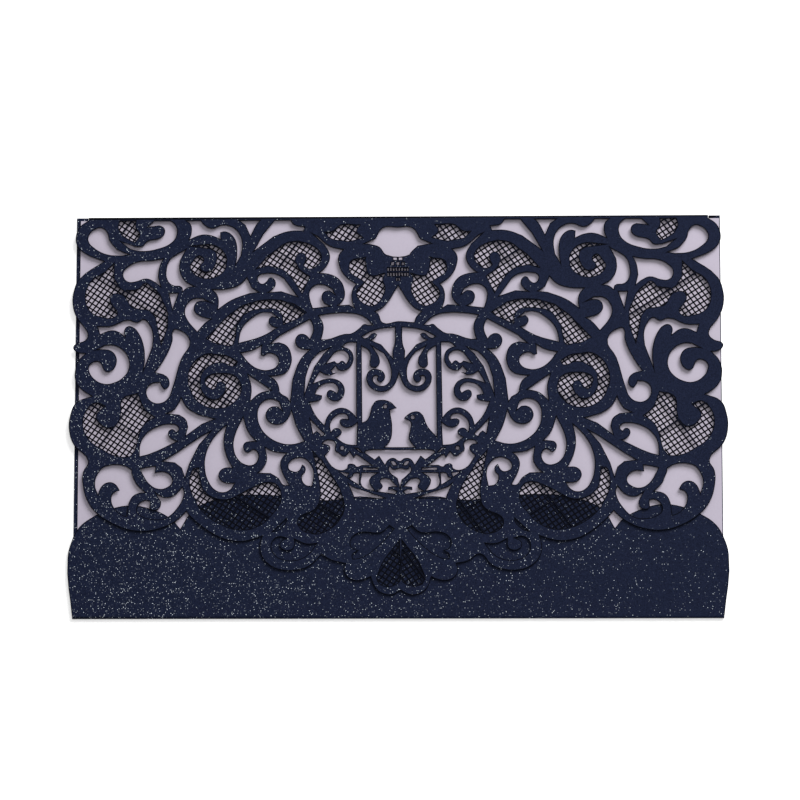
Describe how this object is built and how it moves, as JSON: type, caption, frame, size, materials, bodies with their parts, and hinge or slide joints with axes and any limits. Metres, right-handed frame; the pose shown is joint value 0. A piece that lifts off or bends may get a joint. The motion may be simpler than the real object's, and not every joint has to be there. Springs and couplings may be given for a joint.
{
  "type": "laser-cut wedding invitation",
  "caption": "Landscape card folder with a bottom pocket, a scrolled lace flap folded down from the top and a pale insert sheet.",
  "frame": {"origin": "under the middle of the folded card's box, on the surface that it lies on", "axes": "+X along the long side, +Y up the page towards the flap's fold, +Z out of the front"},
  "size_m": [0.2032, 0.125, 0.0022],
  "materials": {
    "glitter_card": "fine glitter",
    "pearl_paper": "pearl"
  },
  "bodies": {
    "root": {"jacket": "glitter_card", "insert_card": "pearl_paper"}
  },
  "joints": []
}
